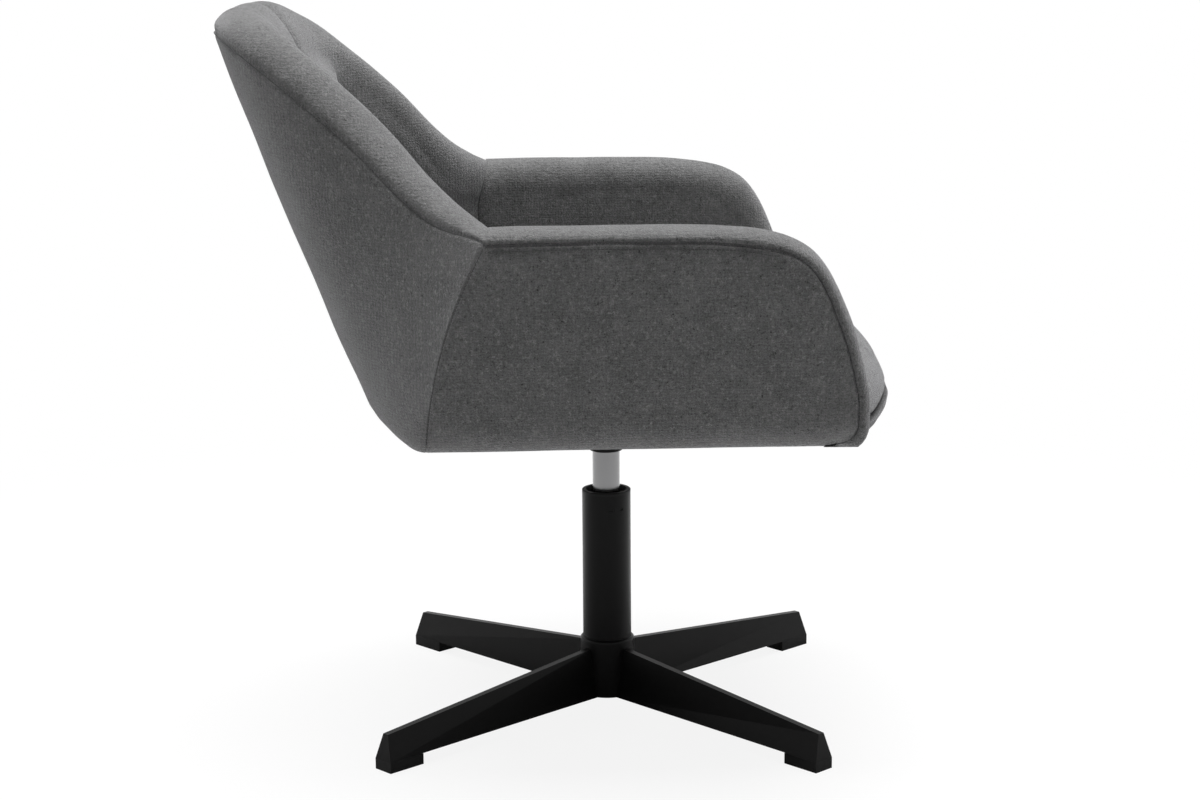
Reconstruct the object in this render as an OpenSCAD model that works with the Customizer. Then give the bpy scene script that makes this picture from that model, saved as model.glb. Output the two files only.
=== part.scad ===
// Upholstered swivel tub armchair on a four-legged steel base with a gas lift.
// Millimetres. Z is up, the seat faces +X, and the origin is on the floor under the swivel axis.

/* [Base] */
// Distance from the swivel axis to the end of each leg
leg_reach = 300; // [240:5:360]
// Turn of the base about the column, away from the seat's diagonals
base_turn = -4; // [-45:1:45]
// Height of a leg's ridge at the hub
leg_root_h = 63.5; // [50:0.5:66]
// Height of a leg's ridge at its end
leg_tip_h = 36.5; // [28:0.5:45]
// Width of a leg's ridge
leg_ridge_w = 7; // [6:0.5:12]
// Width of a leg at its open underside
leg_foot_w = 23; // [20:0.5:30]
// Thickness of the legs' pressed sheet
leg_wall = 2; // [1.5:0.5:2.5]
// Length of a glide under the end of a leg
glide_len = 41; // [30:1:50]
// Height of the legs' underside above the floor
glide_h = 10.7; // [8:0.1:14]
// Outside diameter of the hub
hub_d = 56; // [54:1:70]
// Height of the hub's top above the floor
hub_top = 73; // [70:1:90]

/* [Column] */
// Outside diameter of the fixed column
column_d = 50; // [44:1:52]
// Wall of the column tube
column_wall = 2; // [1.5:0.5:3]
// Height of the column's top above the floor
column_top = 229; // [215:1:250]
// Diameter of the sliding gas cylinder
cylinder_d = 28; // [26:1:30]
// Wall of the gas cylinder
cylinder_wall = 1.5; // [1:0.25:2]
// Diameter of the piston rod
rod_d = 10; // [8:0.5:12]
// Travel of the gas lift
lift_travel = 90; // [60:5:100]
// Length of the cylinder that shows when the seat is down
cylinder_show = 41; // [20:1:60]
// Length of the plastic guide bush
bush_len = 80; // [60:5:90]

/* [Swivel plate] */
// Length of the plate along the seat, front to back
plate_l = 200; // [170:5:240]
// Width of the plate across the seat
plate_w = 160; // [130:5:200]
// Thickness of the plate and of the box under it
plate_t = 2.5; // [2:0.5:4]
// Distance between bolts, front to back
bolt_dx = 160; // [120:5:180]
// Distance between bolts, side to side
bolt_dy = 120; // [90:5:140]
// Diameter of the bolts
bolt_d = 8; // [6:1:8]
// Diameter of the release lever's rod
lever_d = 8; // [6:0.5:9]
// Reach of the release lever from the swivel axis to its grip's end
lever_reach = 298; // [240:1:300]
// Angle that the lever is lifted by
lever_lift = 5; // [3:0.5:6]

/* [Seat] */
// Height of the shell's underside above the floor
seat_under = 331; // [325:1:360]
// Width over the arms
chair_w = 660; // [600:5:720]
// Width of the shell at its underside
under_w = 610; // [560:5:640]
// Width between the arms
seat_w = 536; // [500:2:560]
// Height of the arms above the floor
arm_top = 535; // [510:1:580]
// Height of the back above the floor
back_top = 722; // [690:1:760]
// Thickness of the padded back
back_t = 60; // [50:1:66]
// Thickness of the plywood seat board
board_t = 15; // [12:1:18]
// Thickness of the plywood in the arms and the back
panel_t = 12; // [9:1:15]
// Height of the cushion's top above the floor
cushion_top = 418; // [405:1:440]
// Furthest point of the cushion in front of the swivel axis
cushion_front = 288; // [270:1:320]

/* [Hidden] */
$fn = 64;

// Clearances
running = 0.05;        // radial gap of a piece that turns or slides in another
plug_gap = 0.3;        // gap round the glide's plug inside its leg
soft_gap = 1;          // gap between the cushion and the padding round it
cushion_gap = 10;      // gap behind the cushion, which the back's brackets stand in
button_gap = 0.2;      // free play between the lever and the valve pin

// Base
leg_names = ["front_left", "rear_left", "rear_right", "front_right"];
hub_bottom = glide_h + 2;
hub_round = 3;
tip_lean = 4;          // how far the end of the ridge stands back from the foot
plug_h = 9;
plug_inset = 6;

// Column
tube_r = column_d / 2;
tube_bore = tube_r - column_wall;
bush_flange = 3;
bush_dish = 5;         // depth of the dished top of the guide bush
bush_rim = 4;
lug_drop = 18;         // how far the bush's two snap lugs sit below the column's top
lug_size = [4, 2.5];
lug_angles = [-81, -56];
end_plate_z = hub_bottom + 7;
end_plate_t = 3;
race_t = 1;
race_r = 11;
ball_r = 1.5;
ball_ring_r = 8.2;
ball_count = 8;
cage_t = 1.6;
rod_step = 1;          // how much thinner the rod's end is than the rod
clip_t = 1.2;
clip_drop = 0.4;
race_z = end_plate_z + end_plate_t;
ball_z = race_z + race_t;
upper_race_z = ball_z + 2 * ball_r;
shoulder_z = upper_race_z + race_t;

// Gas cylinder, seat down
cyl_r = cylinder_d / 2;
cyl_bore = cyl_r - cylinder_wall;
socket_z = column_top + cylinder_show;
taper = 0.025;         // radius lost for each millimetre of the cylinder's tapered top
neck_len = 46;
neck_wall = 1.8;
cyl_top = socket_z + neck_len;
cyl_bottom = column_top - bush_len - lift_travel - 14;
gland_len = 15;
valve_len = 54;
valve_z = cyl_top - valve_len;
neck_bore = cyl_r - taper * neck_len - neck_wall;
piston_t = 12;
piston_z = cyl_bottom + gland_len + lift_travel + 45;
seal_w = 3;
seal_depth = 2;
pin_r = 4;
pin_top = cyl_top + 4;
pin_len = 27;
pin_dome = 12;

// Swivel plate, box and lever
box_x = 36;
box_y = [-28, 44];
box_z = socket_z + 29;   // underside of the box below the swivel plate
socket_wall = 3.5;
socket_top = cyl_top - 4;
pivot_y = 30;
pivot_z = pin_top + button_gap;
pivot_pin_r = 2.5;
lever_hub_r = 5;
lever_hub_w = 24;
tab_t = 3;
tab_past = 6;          // how far the lever's tab runs past the valve pin's axis
lever_dip = 4.5;       // slope of the lever's rod below level, in degrees
lever_slot = [18, 23];
grip_r = 7.5;
grip_len = 62;
head_t = 5.3;
head_across = 13;
tee_flange = [11, 1.5];
tee_barrel = [bolt_d / 2 + 1, 10];
bolt_hole = bolt_d / 2 + 0.25;

// Shell
recess = 4;            // how far the seat board sits above the padding's lower edge
cover_t = 1;
board_z = seat_under + recess;
board_top = board_z + board_t;
plate_top = board_z - cover_t;
board_inset = 17;
seam_x = -119;         // where the arm meets the back, at arm height
seam_lean = 0.2835;    // how far the seam runs back for each millimetre down
rear_x = -233;         // rear of the shell at its underside
rear_lean = 0.4;       // how far the back leans for each millimetre up
back_mid_x = -354;     // middle of the back's top edge
arm_front = 223;
board_front = 205;
edge_r = 30;           // rounding under the shell
rim_r = 9;             // rounding of the top edge
under_y = under_w / 2;
arm_y = chair_w / 2;
inner_y = seat_w / 2;
arm_mid = (arm_y + inner_y) / 2;
flare = (arm_y - under_y) / (arm_top - seat_under);
panel_y = inner_y + 8;
stations = 24;

// The rim from an arm to the middle of the back: turn of the wall in degrees, then how far back,
// how wide and how high the rim is there, as shares of the way from the arm to the back's top.
rim = [
    [0, 0, 1, 0], [13, 0.12, 0.9, 0.09], [25, 0.23, 0.835, 0.19], [38, 0.45, 0.735, 0.5],
    [48, 0.66, 0.675, 0.735], [57, 0.79, 0.62, 0.86], [66, 0.9, 0.5, 0.96], [77, 0.965, 0.31, 1], [90, 1, 0, 0.99],
];
function share(turn, column) = lookup(turn, [for (r = rim) [r[0], r[column]]]);
function mix(a, b, t) = a + (b - a) * t;
function seam_at(z) = seam_x + (z - arm_top) * seam_lean;

// A station of the back wall, for a turn from -90 (right arm) through 0 (middle) to 90 (left arm):
// the outer face at the underside, the outer face at the rim, the way inwards, and the rim's height.
function out_low(t) = [seam_at(seat_under) + (rear_x - seam_at(seat_under)) * cos(t), under_y * sin(t)];
function inward(t) = [cos(t), -sin(t)];
function rim_z(t) = mix(arm_top, back_top, share(90 - abs(t), 3));
function rim_mid(t) = [
    mix(seam_x, back_mid_x, share(90 - abs(t), 1)),
    sign(t) * mix(0, arm_mid, share(90 - abs(t), 2)),
];
function wall_low(t) = mix(under_y - inner_y, back_t, cos(t));
function wall_top(t) = mix(arm_y - inner_y, back_t, cos(t));
function out_top(t) = rim_mid(t) - inward(t) * wall_top(t) / 2;
function wall_point(t, depth, up) =
    let (s = (up - seat_under) / (rim_z(t) - seat_under), p = mix(out_low(t), out_top(t), s) + inward(t) * depth)
    [p[0], p[1], up];
function wall_section(t) = let (top = rim_z(t), w0 = wall_low(t), w1 = wall_top(t)) concat(
    [for (a = [0:30:90]) wall_point(t, edge_r * (1 - sin(a)), seat_under + edge_r * (1 - cos(a)))],
    [for (k = [1:4]) wall_point(t, 0, mix(seat_under + edge_r, top - rim_r, k / 4))],
    [for (a = [30:30:90]) wall_point(t, rim_r * (1 - cos(a)), top - rim_r * (1 - sin(a)))],
    [for (a = [90:-30:0]) wall_point(t, w1 - rim_r * (1 - cos(a)), top - rim_r * (1 - sin(a)))],
    [for (k = [1:4]) wall_point(t, mix(w1, w0, k / 4), mix(top - rim_r, seat_under, k / 4))]
);

// A point on the wall's inner face at a height, or a little way in front of it
function inner_point(t, up, gap) =
    let (top = rim_z(t) - rim_r, s = (top - up) / (top - seat_under))
    wall_point(t, mix(wall_top(t), wall_low(t), s) + gap, up);

// Closed loft through rings of points
module loft(rings) {
    n = len(rings);
    m = len(rings[0]);
    points = [for (ring = rings, p = ring) p];
    sides = [
        for (i = [0:n - 2], j = [0:m - 1]) let (k = (j + 1) % m)
            each [[i * m + j, i * m + k, (i + 1) * m + k], [i * m + j, (i + 1) * m + k, (i + 1) * m + j]]
    ];
    ends = [[for (j = [m - 1:-1:0]) j], [for (j = [0:m - 1]) (n - 1) * m + j]];
    polyhedron(points, concat(ends, sides), convexity = 8);
}

module ring(r_out, r_in, z, h) {
    translate([0, 0, z]) difference() {
        cylinder(h = h, r = r_out);
        translate([0, 0, -1]) cylinder(h = h + 2, r = r_in);
    }
}

module block(x, y, z) {
    translate([x[0], y[0], z[0]]) cube([x[1] - x[0], y[1] - y[0], z[1] - z[0]]);
}

module each_bolt() {
    for (x = [-1, 1], y = [-1, 1]) translate([x * bolt_dx / 2, y * bolt_dy / 2, 0]) children();
}

// ---------- base ----------

module hub() {
    r = hub_d / 2;
    color("#15151a") rotate_extrude() polygon(concat(
        [[tube_r, hub_bottom], [r, hub_bottom]],
        [for (a = [0:15:90]) [r - hub_round * (1 - cos(a)), hub_top - hub_round * (1 - sin(a))]],
        [[tube_r, hub_top]]
    ));
}

// A leg's section at distance x: half widths, underside and ridge
function leg_ring(x, top_x, wide, narrow, under, ridge) = [
    [x, -wide, under], [top_x, -narrow, ridge], [top_x, narrow, ridge], [x, wide, under],
];

module leg(i) {
    wide = leg_foot_w / 2;
    narrow = leg_ridge_w / 2;
    color("#15151a") rotate([0, 0, base_turn + 45 + 90 * i]) difference() {
        loft([
            leg_ring(hub_d / 2 - 6, hub_d / 2 - 6, wide, narrow, hub_bottom, leg_root_h),
            leg_ring(leg_reach, leg_reach - tip_lean, wide, narrow, glide_h, leg_tip_h),
        ]);
        loft([
            leg_ring(hub_d / 2 - 8, hub_d / 2 - 8, wide - leg_wall, narrow - leg_wall / 2, hub_bottom - leg_wall, leg_root_h - leg_wall),
            leg_ring(
                leg_reach - leg_wall, leg_reach - tip_lean - leg_wall,
                wide - leg_wall, narrow - leg_wall / 2, glide_h - leg_wall, leg_tip_h - leg_wall
            ),
        ]);
        cylinder(h = hub_top, r = hub_d / 2);
    }
}

module glide(i) {
    half = leg_foot_w / 2;
    plug = half * 0.48;
    color("#101012") rotate([0, 0, base_turn + 45 + 90 * i]) {
        block([leg_reach - glide_len, leg_reach], [-half, half], [0, glide_h]);
        block(
            [leg_reach - glide_len + plug_inset, leg_reach - plug_inset],
            [-plug + plug_gap, plug - plug_gap], [glide_h, glide_h + plug_h]
        );
    }
}

// ---------- column ----------

module lugs(depth) {
    for (a = lug_angles)
        rotate([0, 0, a]) block(
            [tube_bore - 1, tube_bore + depth], [-lug_size[0] / 2, lug_size[0] / 2],
            [column_top - lug_drop - lug_size[1] / 2, column_top - lug_drop + lug_size[1] / 2]
        );
}

module column_tube() {
    color("#15151a") difference() {
        ring(tube_r, tube_bore, hub_bottom + 2, column_top - bush_flange - hub_bottom - 2);
        lugs(column_wall + 1);
    }
}

module column_end_plate() {
    color("silver") ring(tube_bore, rod_d / 2 - rod_step + running, end_plate_z, end_plate_t);
}

module guide_bush() {
    r = cyl_r + running;
    z = column_top - bush_flange;
    color("#1b1b1f") union() {
        rotate_extrude() polygon([
            [r, column_top - bush_len], [tube_bore, column_top - bush_len], [tube_bore, z], [tube_r, z],
            [tube_r, column_top - 0.6], [tube_r - 0.6, column_top], [tube_r - bush_rim, column_top],
            [tube_r - bush_rim - 1, column_top - bush_dish], [r, column_top - bush_dish],
        ]);
        lugs(column_wall / 2);
    }
}

module lower_race() {
    color("silver") ring(race_r, rod_d / 2 + 0.5, race_z, race_t);
}

module ball_places() {
    for (k = [0:ball_count - 1])
        rotate([0, 0, k * 360 / ball_count]) translate([ball_ring_r, 0, ball_z + ball_r]) children();
}

module bearing_cage() {
    color("goldenrod") difference() {
        ring(race_r, rod_d / 2 + 0.5, ball_z + ball_r - cage_t / 2, cage_t);
        ball_places() cylinder(h = 4 * ball_r, r = ball_r + running, center = true);
    }
}

module bearing_balls() {
    color("silver") ball_places() sphere(r = ball_r - running / 2);
}

module upper_race() {
    color("silver") ring(race_r, rod_d / 2 - rod_step, upper_race_z, race_t);
}

module piston_rod() {
    color("silver") union() {
        translate([0, 0, hub_bottom + 1]) cylinder(h = shoulder_z - hub_bottom - 1, r = rod_d / 2 - rod_step);
        translate([0, 0, shoulder_z]) cylinder(h = piston_z + piston_t / 2 - shoulder_z, r = rod_d / 2);
    }
}

module rod_clip() {
    color("dimgray") ring(rod_d / 2 + 2, rod_d / 2 - rod_step, end_plate_z - clip_drop - clip_t, clip_t);
}

module piston() {
    r = cyl_bore - running;
    color("gray") difference() {
        translate([0, 0, piston_z]) cylinder(h = piston_t, r = r);
        translate([0, 0, piston_z - 1]) cylinder(h = piston_t / 2 + 1, r = rod_d / 2);
        ring(r + 1, r - seal_depth, piston_z + piston_t / 2 - seal_w / 2, seal_w);
    }
}

module piston_seal() {
    r = cyl_bore - running;
    color("#222222") ring(r, r - seal_depth, piston_z + piston_t / 2 - seal_w / 2, seal_w);
}

module gas_cylinder() {
    color("#9a9a9e") rotate_extrude() polygon([
        [cyl_bore, cyl_bottom], [cyl_r, cyl_bottom], [cyl_r, socket_z], [cyl_r - taper * neck_len, cyl_top],
        [neck_bore, cyl_top], [neck_bore, valve_z], [cyl_bore, valve_z - 2],
    ]);
}

module rod_gland() {
    color("#222222") ring(cyl_bore, rod_d / 2 + running, cyl_bottom, gland_len);
}

module valve_body() {
    color("goldenrod") difference() {
        translate([0, 0, valve_z]) cylinder(h = valve_len, r = neck_bore);
        translate([0, 0, pin_top - pin_len - 4]) cylinder(h = pin_len + 5, r = pin_r + running);
    }
}

// The pin's domed top keeps its middle in touch with the tilting tab.
module valve_pin() {
    color("silver") intersection() {
        translate([0, 0, pin_top - pin_len]) cylinder(h = pin_len, r = pin_r);
        translate([0, 0, pin_top - pin_dome]) union() {
            sphere(r = pin_dome);
            translate([0, 0, -pin_len]) cylinder(h = pin_len, r = pin_dome);
        }
    }
}

// ---------- swivel plate and lever ----------

module taper_socket() {
    r = cyl_r + socket_wall;
    color("#15151a") rotate_extrude() polygon([
        [cyl_r, socket_z], [r - 1, socket_z], [r, socket_z + 1], [r, socket_top],
        [cyl_r - taper * (socket_top - socket_z), socket_top],
    ]);
}

module swivel_plate() {
    under = plate_top - plate_t;
    color("#15151a") difference() {
        union() {
            block([-plate_l / 2, plate_l / 2], [-plate_w / 2, plate_w / 2], [under, plate_top]);
            block([-box_x, box_x], box_y, [box_z, under]);
        }
        block([plate_t - box_x, box_x - plate_t], [box_y[0] + plate_t, box_y[1] - plate_t], [box_z + plate_t, under]);
        block([-lever_slot[0] / 2, lever_slot[0] / 2], [box_y[1] - 2 * plate_t, box_y[1] + 1], [under - lever_slot[1], under - 1]);
        translate([0, 0, box_z - 1]) cylinder(h = plate_t + 2, r = cyl_r + socket_wall);
        translate([0, pivot_y, pivot_z]) rotate([0, 90, 0]) cylinder(h = 3 * box_x, r = pivot_pin_r, center = true);
        each_bolt() translate([0, 0, under - 1]) cylinder(h = plate_t + 2, r = bolt_hole);
    }
}

module plate_bolts() {
    under = plate_top - plate_t;
    color("silver") each_bolt() union() {
        translate([0, 0, under - head_t]) cylinder(h = head_t, r = head_across / sqrt(3), $fn = 6);
        translate([0, 0, under]) cylinder(h = board_top + tee_flange[1] - under, r = bolt_d / 2);
    }
}

module tee_nuts() {
    color("silver") each_bolt() union() {
        ring(tee_flange[0], bolt_d / 2, board_top, tee_flange[1]);
        ring(tee_barrel[0], bolt_d / 2, board_top - tee_barrel[1], tee_barrel[1]);
    }
}

module lever_pin() {
    color("silver") translate([0, pivot_y, pivot_z]) rotate([0, 90, 0])
        cylinder(h = 2 * box_x + 3, r = pivot_pin_r, center = true);
}

// Puts its children at the pivot, with their Z axis along the lever's rod
module along_lever() {
    translate([0, pivot_y, pivot_z]) rotate([-90 - lever_dip, 0, 0]) children();
}

module lever_rod() {
    rod_len = (lever_reach - pivot_y) / cos(lever_dip) - 6;
    color("#1b1b1f") difference() {
        union() {
            translate([0, pivot_y, pivot_z]) rotate([0, 90, 0]) cylinder(h = lever_hub_w, r = lever_hub_r, center = true);
            block([-lever_hub_w / 3, lever_hub_w / 3], [-tab_past, pivot_y], [pivot_z, pivot_z + tab_t]);
            along_lever() translate([0, 0, 1]) cylinder(h = rod_len - 1, r = lever_d / 2);
        }
        translate([0, pivot_y, pivot_z]) rotate([0, 90, 0])
            cylinder(h = lever_hub_w + 2, r = pivot_pin_r + running, center = true);
    }
}

module lever_grip() {
    end = (lever_reach - pivot_y) / cos(lever_dip);
    start = end - grip_len;
    color("#101012") along_lever() rotate_extrude() polygon(concat(
        [[0, end - 6], [lever_d / 2, end - 6], [lever_d / 2, start], [lever_d / 2 + 1.5, start], [grip_r, start + 8]],
        [for (a = [0:15:90]) [grip_r - 4 * (1 - cos(a)), end - 4 * (1 - sin(a))]],
        [[0, end]]
    ));
}

// ---------- frame of the shell ----------

// Outline of the underside, drawn in by an inset, with its own front edge
module under_plan(inset, front) {
    polygon(concat(
        [[front, -under_y + inset], [front, under_y - inset]],
        [for (t = [90:-7.5:-90]) out_low(t) + inward(t) * inset]
    ));
}

module seat_board_shape() {
    translate([0, 0, board_z]) linear_extrude(board_t) under_plan(board_inset, board_front);
}

module seat_board() {
    color("burlywood") difference() {
        seat_board_shape();
        each_bolt() translate([0, 0, board_z - 1]) cylinder(h = board_t + 2, r = tee_barrel[0]);
        screw_places() screw_shape();
    }
}

arm_panel_outline = [
    [seam_at(board_top) + 14, board_top], [seam_at(arm_top - 35) + 14, arm_top - 35],
    [arm_front - 120, arm_top - 35], [arm_front - 75, arm_top - 55], [arm_front - 45, arm_top - 100],
    [arm_front - 30, board_top],
];

module arm_panel(side) {
    color("burlywood") difference() {
        translate([0, side * (panel_y + panel_t / 2) + panel_t / 2, 0]) rotate([90, 0, 0])
            linear_extrude(panel_t) polygon(arm_panel_outline);
        screw_places() screw_shape();
    }
}

// The back board stands on the seat board in the middle of the padded back and leans with it.
back_lean = atan(rear_lean);
back_board_w = 240;
back_board_len = (back_top - 45 - board_top) / cos(back_lean);
back_board_x = rear_x - rear_lean * (board_top - seat_under) + back_t / 2 + panel_t / 2;

module on_back_board() {
    translate([back_board_x, 0, board_top]) rotate([0, -back_lean, 0]) children();
}

module back_board() {
    color("burlywood") difference() {
        on_back_board() block([-panel_t, 0], [-back_board_w / 2, back_board_w / 2], [-20, back_board_len]);
        block([-600, 0], [-200, 200], [0, board_top]);
    }
}

bracket = [40, 30, 2.5];   // width, leg and sheet of a bracket
bracket_ys = [-70, 70];

module back_brackets() {
    color("silver") for (y = bracket_ys) translate([0, y, 0]) union() {
        block([back_board_x + 1.2, back_board_x + bracket[1]], [-bracket[0] / 2, bracket[0] / 2], [board_top, board_top + bracket[2]]);
        on_back_board() block([0, bracket[2]], [-bracket[0] / 2, bracket[0] / 2], [bracket[2] / 2, bracket[1]]);
    }
}

screw_len = 45;
screw_r = 2;
screw_xs = [-110, 20, 140];

module screw_places() {
    for (s = [-1, 1], x = screw_xs) translate([x, s * (panel_y + panel_t / 2), board_z]) children();
}

module screw_shape() {
    rotate_extrude($fn = 32) polygon([
        [0, 0], [2 * screw_r, 0], [screw_r, screw_r], [screw_r, screw_len - 4], [0, screw_len],
    ]);
}

module panel_screws() {
    color("silver") screw_places() screw_shape();
}

module dust_cover() {
    color("#202020") translate([0, 0, plate_top]) linear_extrude(cover_t) difference() {
        under_plan(edge_r, board_front - 4);
        each_bolt() circle(r = bolt_hole);
    }
}

// ---------- padding ----------

arm_outline = [
    [seam_at(seat_under), seat_under], [seam_x, arm_top],
    [arm_front - 153, arm_top + 1], [arm_front - 99, arm_top - 3], [arm_front - 55, arm_top - 22],
    [arm_front - 27, arm_top - 65], [arm_front - 13, arm_top - 93], [arm_front, arm_top - 157],
    [arm_front - 1, seat_under + 20], [arm_front - 10, seat_under],
];

// A thin upright slice of the arm: its distance from the middle, how far it is drawn in,
// the slope of its face, and the lowest height it reaches.
module arm_slice(y, drawn_in, slope, low) {
    multmatrix([[1, 0, 0, 0], [0, 1, slope, y - slope * seat_under], [0, 0, 1, 0], [0, 0, 0, 1]])
        rotate([90, 0, 0]) linear_extrude(0.02) intersection() {
            offset(delta = -drawn_in) polygon(arm_outline);
            translate([seam_at(low) - 200, low]) square([900, 900]);
        }
}

module arm_shape() {
    hull() {
        arm_slice(inner_y + 0.02, rim_r * 0.6, 0, seat_under);
        arm_slice(inner_y + rim_r, 0, 0, seat_under);
        arm_slice(under_y - edge_r * 0.8, 0, 0, seat_under);
        arm_slice(under_y - rim_r, 0, flare, seat_under + edge_r * 0.45);
        arm_slice(under_y, rim_r * 0.6, flare, seat_under + edge_r);
    }
}

// Everything that the padding is built round
module frame_room() {
    seat_board_shape();
    translate([0, 0, seat_under - 1]) linear_extrude(recess + 1) under_plan(edge_r, cushion_front);
    for (side = [-1, 1]) arm_panel(side);
    back_board();
    back_brackets();
    screw_places() screw_shape();
}

module arm_pad(side) {
    color("#4a4a4c") difference() {
        mirror([0, side < 0 ? 1 : 0, 0]) arm_shape();
        frame_room();
    }
}

module back_pad() {
    color("#4a4a4c") difference() {
        loft([for (k = [0:stations]) wall_section(mix(-90, 90, k / stations))]);
        frame_room();
    }
}

// The front edge of the cushion and of the band under it, bowed forward in the middle
function bow(set_back) = [
    for (k = [-6:6]) [cushion_front - set_back - cushion_bow * pow(k / 6, 2), k / 6 * (inner_y - soft_gap)],
];

module front_pad() {
    half = inner_y - soft_gap;
    color("#4a4a4c") translate([0, 0, seat_under]) linear_extrude(board_top - seat_under)
        polygon(concat([[board_front, half], [board_front, -half]], bow(band_set_back)));
}

// The cushion: a side profile, cut to the room between the arms and the back
cushion_outline = [
    [-400, board_top + 2], [cushion_front - 38, board_top + 2], [cushion_front - 8, board_top + 11],
    [cushion_front, board_top + 26], [cushion_front - 8, cushion_top - 24], [cushion_front - 33, cushion_top - 7],
    [cushion_front - 88, cushion_top], [0, cushion_top - 3], [-400, cushion_top - 12],
];
cushion_bow = 50;       // how far the front edge falls back at the arms
band_set_back = 8;      // how far the band under the cushion stands behind it

module seat_cushion() {
    half = inner_y - soft_gap;
    color("#505052") intersection() {
        translate([0, half, 0]) rotate([90, 0, 0]) linear_extrude(2 * half) polygon(cushion_outline);
        translate([0, 0, board_top]) linear_extrude(200) intersection() {
            intersection_for(z = [board_top, (board_top + cushion_top) / 2, cushion_top]) polygon(concat(
                bow(0),
                [for (t = [90:-180 / stations:-90]) let (p = inner_point(t, z, cushion_gap)) [p[0], p[1]]]
            ));
            translate([-500, -half]) square([1000, 2 * half]);
        }
    }
}

hub();
leg(0);  // leg_front_left
leg(1);  // leg_rear_left
leg(2);  // leg_rear_right
leg(3);  // leg_front_right
glide(0);  // glide_front_left
glide(1);  // glide_rear_left
glide(2);  // glide_rear_right
glide(3);  // glide_front_right
column_tube();
column_end_plate();
guide_bush();
lower_race();
bearing_cage();
bearing_balls();
upper_race();
piston_rod();
rod_clip();
piston();
piston_seal();
gas_cylinder();
rod_gland();
valve_body();
valve_pin();
taper_socket();
swivel_plate();
plate_bolts();
tee_nuts();
lever_pin();
lever_rod();
lever_grip();
seat_board();
arm_panel(-1);  // arm_panel_right
arm_panel(1);  // arm_panel_left
back_board();
back_brackets();
panel_screws();
dust_cover();
arm_pad(-1);  // arm_pad_right
arm_pad(1);  // arm_pad_left
back_pad();
front_pad();
seat_cushion();
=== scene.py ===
import bisect
import math

import bmesh
import bpy
import numpy as np
from mathutils import Matrix, Vector, noise


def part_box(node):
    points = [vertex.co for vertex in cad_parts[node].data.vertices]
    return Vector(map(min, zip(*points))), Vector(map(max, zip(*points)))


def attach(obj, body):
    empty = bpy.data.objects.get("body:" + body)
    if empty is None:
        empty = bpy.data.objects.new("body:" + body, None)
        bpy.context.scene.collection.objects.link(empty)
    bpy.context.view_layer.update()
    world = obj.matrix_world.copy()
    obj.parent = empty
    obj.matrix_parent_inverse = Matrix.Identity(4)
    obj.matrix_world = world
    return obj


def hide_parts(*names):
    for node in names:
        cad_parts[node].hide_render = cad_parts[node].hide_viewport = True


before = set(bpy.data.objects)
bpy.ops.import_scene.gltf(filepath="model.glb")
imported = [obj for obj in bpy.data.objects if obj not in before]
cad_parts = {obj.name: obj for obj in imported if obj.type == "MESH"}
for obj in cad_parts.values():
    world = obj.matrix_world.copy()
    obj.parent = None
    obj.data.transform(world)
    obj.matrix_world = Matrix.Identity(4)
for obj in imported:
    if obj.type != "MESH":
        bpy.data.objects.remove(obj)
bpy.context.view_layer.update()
scene = bpy.context.scene
scene.view_settings.view_transform = "Standard"

# ---------- camera ----------
# It stands level with the back's top, square to the sitter's right side, and looks a little down.
eye = Vector((-0.120, -2.4669, 0.8175))
heading = math.radians(3.594)
pitch = math.radians(-11.358)
roll = math.radians(-0.223)
look = Vector((math.sin(heading) * math.cos(pitch), math.cos(heading) * math.cos(pitch), math.sin(pitch)))
camera_data = bpy.data.cameras.new("camera")
camera_data.lens = 74.0
camera_data.sensor_width = 36.0
camera_data.shift_x = -0.0332
camera = bpy.data.objects.new("camera", camera_data)
camera.matrix_world = (
    Matrix.Translation(eye) @ look.to_track_quat("-Z", "Y").to_matrix().to_4x4() @ Matrix.Rotation(roll, 4, "Z")
)
scene.collection.objects.link(camera)
scene.camera = camera


# ---------- materials: the way that a graph of shader nodes is written ----------
class Wire:
    """A node's output, which adds Math nodes as it is reckoned with."""

    def __init__(self, graph, socket):
        self.graph = graph
        self.socket = socket

    def math(self, operation, *others, clamp=False):
        values = {0: self.socket}
        for index, other in enumerate(others):
            values[index + 1] = other
        return self.graph.add("ShaderNodeMath", {"operation": operation, "use_clamp": clamp}, values)

    def __add__(self, other):
        return self.math("ADD", other)

    def __sub__(self, other):
        return self.math("SUBTRACT", other)

    def __mul__(self, other):
        return self.math("MULTIPLY", other)

    def __pow__(self, other):
        return self.math("POWER", other)

    def __rsub__(self, other):
        return self.graph.add("ShaderNodeMath", {"operation": "SUBTRACT"}, {0: other, 1: self.socket})

    __radd__ = __add__
    __rmul__ = __mul__


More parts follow.
